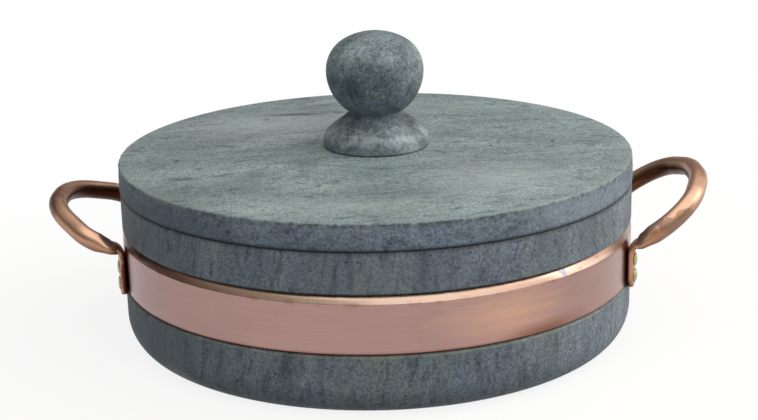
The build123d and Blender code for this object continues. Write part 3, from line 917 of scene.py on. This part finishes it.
band_copper = copper(
    "rolled_copper_sheet",
    streak_stretch=(40, 40, 1),
    ragged_stretch=(9, 9, 0.6),
    clean="#AC8D87",
    warm="#B3918A",
    low_rough=0.2,
    high_rough=0.3,
    patches=0.12,
    patch_colour="#9A6B58",
    painted_under_shade="#C8A090",
    painted_top_light="#B9A799",
    marks=[
        # Painted reflection: lighter and warmer towards the front right, darker brown at the
        # lower edge there, and greyer and darker at the far left
        ((58, -114, 44), (44, 30, 18), "#D3A58C", 0.8, 0.9),
        ((78, -104, 32), (36, 32, 6), "#865340", 0.85, 0.9),
        ((-114, -62, 42), (80, 92, 60), "#8C7576", 0.6, 0.9),
        # The turned lower edge is redder
        ((0, 0, 30.8), (900, 900, 1.7), "#8A5846", 0.6, 0.9),
        # Painted shade and dark reflection along the bevel's upper edge, under the stone's lip, darkest at
        # the far left
        ((0, 0, 58.8), (900, 900, 1.6), "#94684E", 0.6, 0.9),
        ((-120, -45, 58), (30, 60, 4.5), "#1E0F0A", 1.0, 0.5),
        # and a painted duller reflection at the right
        ((112, -66, 57), (48, 60, 5), "#937D71", 0.85, 0.7),
        # Painted reflection of the straps, red, on the band beside them
        ((-123.8, -40.7, 43), (4.6, 4.6, 18), "#74351C", 0.85, 0.7),
        ((121.3, -47.6, 43), (6.0, 6.0, 18), "#74351C", 0.85, 0.8),
        # A chip on the top edge that shows pale, and scuffs beside it
        ((84.9, -97.0, 57.5), (3.0, 3.0, 1.7), "#8B8698", 0.95, 0.15),
        ((85.9, -96.6, 56.0), (1.7, 1.9, 2.2), "#8B8698", 0.95, 0.15),
        ((88, -94.2, 55.2), (2.6, 2.6, 0.6), "#9C6A50", 0.5, 0.6),
        ((94.1, -88.2, 55.6), (3.4, 3.4, 0.6), "#9C6A50", 0.5, 0.6),
        ((103.6, -76.8, 56.8), (1.4, 2.0, 0.9), "#8C5F4B", 0.6, 0.5),
    ],
)

# The strip's section, drawn from the inner end of the top edge round the outside to the
# lower inner edge and back inside; beside each point stands its place in the flat lap.
bevel_drop = band_sheet * tan(bevel_lean / 2)
bevel_end = (
    band_radius - bevel_reach - band_sheet * cos(bevel_lean),
    0,
    band_top - band_sheet * sin(bevel_lean),
)
bevel_swell = 0.1
bevel_middle = (
    band_radius - bevel_reach / 2 + bevel_swell * cos(bevel_lean),
    0,
    band_top - bevel_height / 2 + bevel_swell * sin(bevel_lean),
)
outside = line_through(
    [
        (bevel_end, 0, 0.5),
        ((band_radius - bevel_reach, 0, band_top), 0.35, 0.6),
        (bevel_middle, 12.0, 0.7),
        ((band_radius, 0, bevel_start), 0.5, 0.4),
        ((band_radius, 0, band_bottom), lip_round, 0.8),
        ((edge_radius, 0, band_bottom), 0, 0.5),
    ]
)
inside = line_through(
    [
        ((edge_radius, 0, band_bottom + band_sheet), 0, 1.2),
        ((band_inner, 0, band_bottom + band_sheet), 0.2, 5),
        ((band_inner, 0, bevel_start - bevel_drop), 0.3, 1.5),
        (bevel_end, 0, 0.5),
    ]
)[:-1]
section = [(point, lap_outer) for point in outside] + [(point, lap_inner) for point in inside]
lap_turn = lap_length / band_radius
joggle_turn = lap_joggle / band_radius
gap_turn = lap_gap / band_radius
ring_turn = 2 * pi - joggle_turn - gap_turn
strip_start = radians(lap_bearing) + lap_turn / 2 - gap_turn / 2
ring_steps, joggle_steps, lap_steps = 720, 8, 40
band_ripple = 0.05
ripple_reach = 3.2
ripple_height = 30
ripple_scale = 1.6
worn_reach = 1.1
turns = [ring_turn * at / ring_steps for at in range(ring_steps + 1)]
turns += [ring_turn + joggle_turn * at / joggle_steps for at in range(1, joggle_steps + 1)]
turns += [ring_turn + joggle_turn + lap_turn * at / lap_steps for at in range(1, lap_steps + 1)]
band_form = bmesh.new()
wear_layer = band_form.verts.layers.float.new("wear")
rings = []
for turn in turns:
    lifted = min(1, max(0, (turn - ring_turn) / joggle_turn))
    lifted = lifted * lifted * (3 - 2 * lifted)
    bearing = strip_start - turn
    ring = []
    for point, lap_radius in section:
        level = min(lap_high, max(lap_low, point.z))
        radius = point.x * (1 - lifted) + lap_radius * lifted
        height = point.z * (1 - lifted) + level * lifted
        waved = Vector((ripple_reach * cos(bearing), ripple_reach * sin(bearing), height / ripple_height))
        ripple = band_ripple * noise.noise(waved * ripple_scale)
        radius += ripple - band_ripple
        corner = band_form.verts.new(Vector((radius * cos(bearing), radius * sin(bearing), height)) * mm)
        edges = [
            exp(-(((point - Vector(place)).length / worn_reach) ** 2))
            for place in ((band_radius - bevel_reach, 0, band_top), (band_radius, 0, bevel_start))
        ]
        corner[wear_layer] = max(edges) * (1 - lifted)
        ring.append(corner)
    rings.append(ring)
around = len(section)
for before, after in zip(rings, rings[1:]):
    for at in range(around):
        band_form.faces.new((before[at], before[(at + 1) % around], after[(at + 1) % around], after[at]))
band_form.faces.new(rings[0])
band_form.faces.new(list(reversed(rings[-1])))
for face in band_form.faces:
    face.smooth = len(face.verts) == 4
bmesh.ops.triangulate(band_form, faces=[face for face in band_form.faces if len(face.verts) > 4])
band_mesh = bpy.data.meshes.new("band")
band_form.to_mesh(band_mesh)
band_form.free()
band_mesh.materials.append(band_copper)
band = piece_of("band", band_mesh)
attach(band, "pot")
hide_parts("copper_band")


# Handles: each is one length of copper tube bent to a loop in a tilted plane. Its ends are
# beaten flat, bent down on to the band and cut round. They are bent by hand and differ.
tube_radius = 4.75
strap_width = 13.6
strap_thickness = 3.2
strap_centre = band_radius + strap_thickness / 2
strap_bend = 5.0
strap_end_round = 0.8
strap_power = 0.75
strap_lead = 0.6
half_flat_width = 12.4
half_flat_thickness = 6.2
half_flat_length = 7.0
half_flat_power = 0.9
swelling_length = 13.5
swelling_spacing = 0.8
lower_rivet_level = 33.9
upper_rivet_level = 42.4
strap_bottom = 27.8
rivet_head_radius = 3.6
handle_sizes = {
    "left": {
        "bearing": 177.1,
        "spread": 16.5,
        "tilt": 23.8,
        "strap_free": 2.4,
        "leg": (12.4, 46.8),
        "tip": (40.9, 18.3),
        "leg_bend": 16.0,
        "tip_bend": 38.0,
    },
    "right": {
        "bearing": 0.8,
        "spread": 17.5,
        "tilt": 34.4,
        "strap_free": 0.2,
        "leg": (30.8, 49.8),
        "tip": (46.9, 11.4),
        "leg_bend": 29.0,
        "tip_bend": 40.0,
    },
}

# The tube's skin: a net wrapped round the line of the tube. Each point of that line holds
# the section's side and thickness directions, both half sizes, and how square it is.
kept_by_line = {"side": "FLOAT_VECTOR", "thick": "FLOAT_VECTOR", "power": "FLOAT"}
tube_skin, given = begin_tree(
    "beaten_tube", {"Steps Round": "Int", "Dent": "Float", "Dent Size": "Float", "Material": "Material"}
)
net, point, angle = net_round(tube_skin, given, line_first=True)
told = told_by_line(tube_skin, given, point, kept_by_line)
reaches = {}
for name, function in {"side": "COSINE", "thick": "SINE"}.items():
    plain = add_node(tube_skin, "Math", {"operation": function, 0: angle})
    size = add_node(tube_skin, "Math", {"operation": "ABSOLUTE", 0: plain})
    sign = add_node(tube_skin, "Math", {"operation": "SIGN", 0: plain})
    fuller = add_node(tube_skin, "Math", {"operation": "POWER", 0: size, 1: told["power"]})
    signed = add_node(tube_skin, "Math", {"operation": "MULTIPLY", 0: fuller, 1: sign})
    reaches[name] = add_node(tube_skin, "VectorMath", {"operation": "SCALE", 0: told[name], "Scale": signed})
reach = add_node(tube_skin, "VectorMath", {"operation": "ADD", 0: reaches["side"], 1: reaches["thick"]})
skin_place = add_node(tube_skin, "VectorMath", {"operation": "ADD", 0: told["place"], 1: reach})
# How much each point faces the inside of the loop, where the copper paints shade
inward = add_node(tube_skin, "Math", {"operation": "COSINE", 0: angle})
form = wrapped(tube_skin, stored_in_net(tube_skin, net, {"inner": inward}), skin_place)
dents = pattern_of(tube_skin, given.outputs["Dent Size"], {"Detail": 1.0})
dent_level = add_node(tube_skin, "MapRange", {
    "clamp": False, "To Min": -1.0, "To Max": 0.4, "Value": dents,
})
dent_out = add_node(tube_skin, "Math", {"operation": "MULTIPLY", 0: dent_level, 1: given.outputs["Dent"]})
facing = add_node(tube_skin, "GeometryNodeInputNormal")
offset = add_node(tube_skin, "VectorMath", {"operation": "SCALE", 0: facing, "Scale": dent_out})
end_tree(tube_skin, given, form, offset)


def tube_stations(bearing, spread, tilt, strap_free, leg, tip, leg_bend, tip_bend):
    """Places along one handle from strap to strap: centre, side, width, thickness, squareness."""
    outward = Vector((cos(radians(bearing)), sin(radians(bearing)), 0))
    across = Vector((0, 0, 1)).cross(outward)
    rise = radians(tilt)
    along = outward * cos(rise) + Vector((0, 0, sin(rise)))
    lift = -outward * sin(rise) + Vector((0, 0, cos(rise)))
    bend_reach = strap_bend * tan((pi / 2 - rise) / 2)
    neck_height = upper_rivet_level + rivet_head_radius + strap_free + bend_reach
    neck_half = strap_centre * sin(radians(spread))
    middle = outward * strap_centre * cos(radians(spread)) + Vector((0, 0, neck_height))
    turns = [(0, -neck_half, 0), (leg[0], -leg[1], leg_bend), (tip[0], -tip[1], tip_bend)]
    turns += [(tip[0], tip[1], tip_bend), (leg[0], leg[1], leg_bend), (0, neck_half, 0)]
    route = line_through([(middle + along * u + across * v, bend, 1.0) for u, v, bend in turns])
    lengths = [0.0]
    for before, after in zip(route, route[1:]):
        lengths.append(lengths[-1] + (after - before).length)
    whole = lengths[-1]
    last = len(route) - 1
    runs = [(route[min(at + 1, last)] - route[max(at - 1, 0)]).normalized() for at in range(len(route))]
    round_part = [
        (route[at], lift.cross(runs[at]).normalized(), 2 * tube_radius, 2 * tube_radius, 1.0)
        for at in range(len(route))
        if swelling_length < lengths[at] < whole - swelling_length
    ]

    def at_length(wanted):
        at = min(range(len(route)), key=lambda place: abs(lengths[place] - wanted))
        return route[at], runs[at]

    legs = []
    for side in (-1, 1):
        leg_bearing = radians(bearing + side * spread)
        leg_outward = Vector((cos(leg_bearing), sin(leg_bearing), 0))
        leg_across = Vector((0, 0, 1)).cross(leg_outward)
        lead_way = leg_outward * cos(rise) + Vector((0, 0, sin(rise)))
        neck = leg_outward * strap_centre + Vector((0, 0, neck_height))
        foot = leg_outward * strap_centre + Vector((0, 0, strap_bottom))
        lead_end = neck + lead_way * (bend_reach + strap_lead)
        strap = line_through([(foot, 0, 0.7), (neck, strap_bend, 0.7), (lead_end, 0, 0.7)])
        stations = []
        half = strap_width / 2
        for at, place in enumerate(strap):
            run = (place - foot).length if place.z < neck_height - bend_reach else strap_width
            end_share = max(0.0, 1 - run / half)
            width = strap_width * sqrt(max(0.0, 1 - end_share**2))
            thickness = strap_thickness * (sqrt(run / strap_end_round) if run < strap_end_round else 1.0)
            stations.append((place, leg_across, width, thickness, strap_power))
        half_flat = (half_flat_width, half_flat_thickness, half_flat_power)
        half_place, half_run = at_length(half_flat_length if side < 0 else whole - half_flat_length)
        tube_place, tube_run = at_length(swelling_length if side < 0 else whole - swelling_length)
        half_run, tube_run = half_run * -side, tube_run * -side
        knots = [
            (lead_end, lead_way, leg_across, strap_width, strap_thickness, strap_power),
            (half_place, half_run, lift.cross(half_run), *half_flat),
            (tube_place, tube_run, lift.cross(tube_run), 2 * tube_radius, 2 * tube_radius, 1.0),
        ]
        for start, stop in zip(knots, knots[1:]):
            length = (stop[0] - start[0]).length
            pieces = max(3, round(length / swelling_spacing))
            for piece in range(1, pieces + 1):
                t = piece / pieces
                h1, h2 = 2 * t**3 - 3 * t**2 + 1, t**3 - 2 * t**2 + t
                h3, h4 = -2 * t**3 + 3 * t**2, t**3 - t**2
                place = start[0] * h1 + start[1] * (length * h2) + stop[0] * h3 + stop[1] * (length * h4)
                ease = t * t * (3 - 2 * t)
                side_way = (start[2] * (1 - ease) + stop[2] * ease).normalized()
                sizes = [start[3 + n] * (1 - ease) + stop[3 + n] * ease for n in range(3)]
                stations.append((place, side_way, *sizes))
        legs.append(stations)
    # The second leg is listed from its strap outward, so it is turned round and its side with it
    return legs[0] + round_part + [(place, -way, *rest) for place, way, *rest in reversed(legs[1])]


tube_copper = copper(
    "polished_copper_tube",
    streak_stretch=(6, 6, 6),
    ragged_stretch=(1, 1, 1),
    clean="#BE937B",
    warm="#B78768",
    low_rough=0.34,
    high_rough=0.44,
    patches=0.3,
    patch_colour="#8C5F4B",
    painted_under_shade="#AA9C98",
    painted_top_light="#C2A38E",
    marks=[
        # Painted dark reflection on the left loop's outer end, and painted shade on its strap's front edge by
        # the band
        ((-166.5, -2, 69), (8, 32, 13), "#5A3422", 0.8, 0.6),
        ((-126, -38, 38), (3.2, 5, 16), "#542B1A", 0.95, 0.3),
        # Grey-brown patina on the underside of the right handle's front leg
        ((146, -45, 61), (10, 6, 5.2), "#8E7364", 0.8, 0.12),
        ((153, -41, 65.5), (7, 5, 3.4), "#917460", 0.8, 0.12),
        ((138, -43, 57), (8, 6, 4), "#A5795E", 0.6, 0.4),
    ],
)
for hand, sizes in handle_sizes.items():
    stations = tube_stations(**sizes)
    line = bpy.data.meshes.new(hand + "_tube_line")
    edges = [(at, at + 1) for at in range(len(stations) - 1)]
    line.from_pydata([place * mm for place, *rest in stations], edges, [])
    for kept, kind in kept_by_line.items():
        line.attributes.new(kept, kind, "POINT")
    for at, (place, way, width, thickness, power) in enumerate(stations):
        before, after = stations[max(at - 1, 0)][0], stations[min(at + 1, len(stations) - 1)][0]
        run = (after - before).normalized()
        way = (way - run * way.dot(run)).normalized()
        line.attributes["side"].data[at].vector = way * (width / 2 * mm)
        line.attributes["thick"].data[at].vector = run.cross(way) * (thickness / 2 * mm)
        line.attributes["power"].data[at].value = power
    handle = made_by(
        tube_skin,
        hand + "_loop_handle",
        line,
        steps_round=48,
        dent=0.10 * mm,
        dent_size=9 * mm,
        material=tube_copper,
    )
    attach(handle, "pot")
    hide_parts(hand + "_handle")


# Rivets: brass, with domed heads peened a little flat. Two hold each flattened end of a
# handle to the band, and four close the lap of the band at the back.
head_heights = {"left_handle_rivets": 0.9, "right_handle_rivets": 1.4, "lap_rivets": 1.4}
head_fullness = 0.9
rivet_shank = 1.5
rivet_tail_radius = 2.1
rivet_tail_height = 1.2
lap_rivet_spacing = 13.0
lap_rivet_rise = 5.0
rivet_brass = plain_metal("peened_brass", "#BBAE88", 0.3, "#83794F")
riveting, given = begin_tree("rivets", {"Rivet": "Object", "Seed": "Int", "Material": "Material"})
pattern = add_node(riveting, "GeometryNodeObjectInfo", {
    "transform_space": "ORIGINAL", "Object": given.outputs["Rivet"],
})
kept_way = add_node(riveting, "GeometryNodeInputNamedAttribute", {
    "data_type": "FLOAT_VECTOR", "Name": "outward",
})
turned_out = add_node(riveting, "FunctionNodeAlignRotationToVector", {"axis": "Z", "Vector": kept_way})
drawn = add_nodes(riveting, "FunctionNodeRandomValue", ("data_type", 2, 3, "Seed"), {
    "spin": ("FLOAT", 0.0, 2 * pi, given.outputs["Seed"]),
    "size": ("FLOAT", 0.95, 1.0, given.outputs["Seed"]),
})
spread_out = add_node(riveting, "GeometryNodeInstanceOnPoints", {
    "Points": given.outputs["Geometry"], "Instance": pattern.outputs["Geometry"], "Rotation": turned_out,
    "Scale": drawn["size"],
})
spun = add_node(riveting, "CombineXYZ", {"Z": drawn["spin"]})
turned_about = add_node(riveting, "GeometryNodeRotateInstances", {
    "Local Space": True, "Instances": spread_out, "Rotation": spun,
})
end_tree(riveting, given, turned_about)

tail_seat = band_inner - 0.03
handle_seat = band_radius + strap_thickness
lap_middle = (lap_low + lap_high) / 2
lap_half_turn = lap_rivet_spacing / lap_outer / 2
places = {name: [] for name in head_heights}
for hand, sizes in handle_sizes.items():
    for side in (-1, 1):
        for level in (lower_rivet_level, upper_rivet_level):
            turn = radians(sizes["bearing"] + side * sizes["spread"])
            places[hand + "_handle_rivets"].append((turn, level, handle_seat))
for side in (-1, 1):
    for level in (lap_middle - lap_rivet_rise, lap_middle + lap_rivet_rise):
        places["lap_rivets"].append((radians(lap_bearing) + side * lap_half_turn, level, lap_outer))
stands_for = {name: [] for name in head_heights}
for end in ("front", "rear"):
    for level in ("lower", "upper"):
        for hand in handle_sizes:
            stands_for[hand + "_handle_rivets"].append(f"{hand}_{end}_{level}_rivet")
for column in ("right", "left"):
    for level in ("lower", "upper"):
        stands_for["lap_rivets"].append(f"band_joint_{column}_{level}_rivet")
for name, spots in places.items():
    shank_length = spots[0][2] - tail_seat
    head_arc = []
    for turn in range(0, 91, 9):
        rise = head_heights[name] * sin(radians(turn)) ** head_fullness
        head_arc.append(((rivet_head_radius * cos(radians(turn)), 0, rise), 0, 0.3))
    rivet_corners = [
        ((0, 0, -shank_length - rivet_tail_height), 0, 0.8),
        ((rivet_shank, 0, -shank_length - rivet_tail_height), 0.2, 0.6),
        ((rivet_tail_radius, 0, -shank_length), 0, 0.5),
        ((rivet_shank, 0, -shank_length), 0, 1.0),
        ((rivet_shank, 0, 0), 0, 1.0),
        *head_arc,
    ]
    rivet = made_by(
        lathe,
        name + "_pattern",
        outline_mesh(name + "_outline", line_through(rivet_corners), []),
        steps_round=40,
        waver=0.05 * mm,
        waver_size=1.8 * mm,
        chip_depth=0.0,
        chip_size=1.0 * mm,
        seed=5.0,
        material=rivet_brass,
    )
    points = bpy.data.meshes.new(name + "_places")
    seats = [Vector((seat * cos(turn), seat * sin(turn), level)) * mm for turn, level, seat in spots]
    points.from_pydata(seats, [], [])
    ways = points.attributes.new("outward", "FLOAT_VECTOR", "POINT")
    for at, (turn, level, seat) in enumerate(spots):
        ways.data[at].vector = (cos(turn), sin(turn), 0)
    rivets = made_by(riveting, name, points, rivet=rivet, seed=4, material=rivet_brass)
    bpy.data.objects.remove(rivet)
    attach(rivets, "pot")
    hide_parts(*stands_for[name])


bpy.context.view_layer.update()
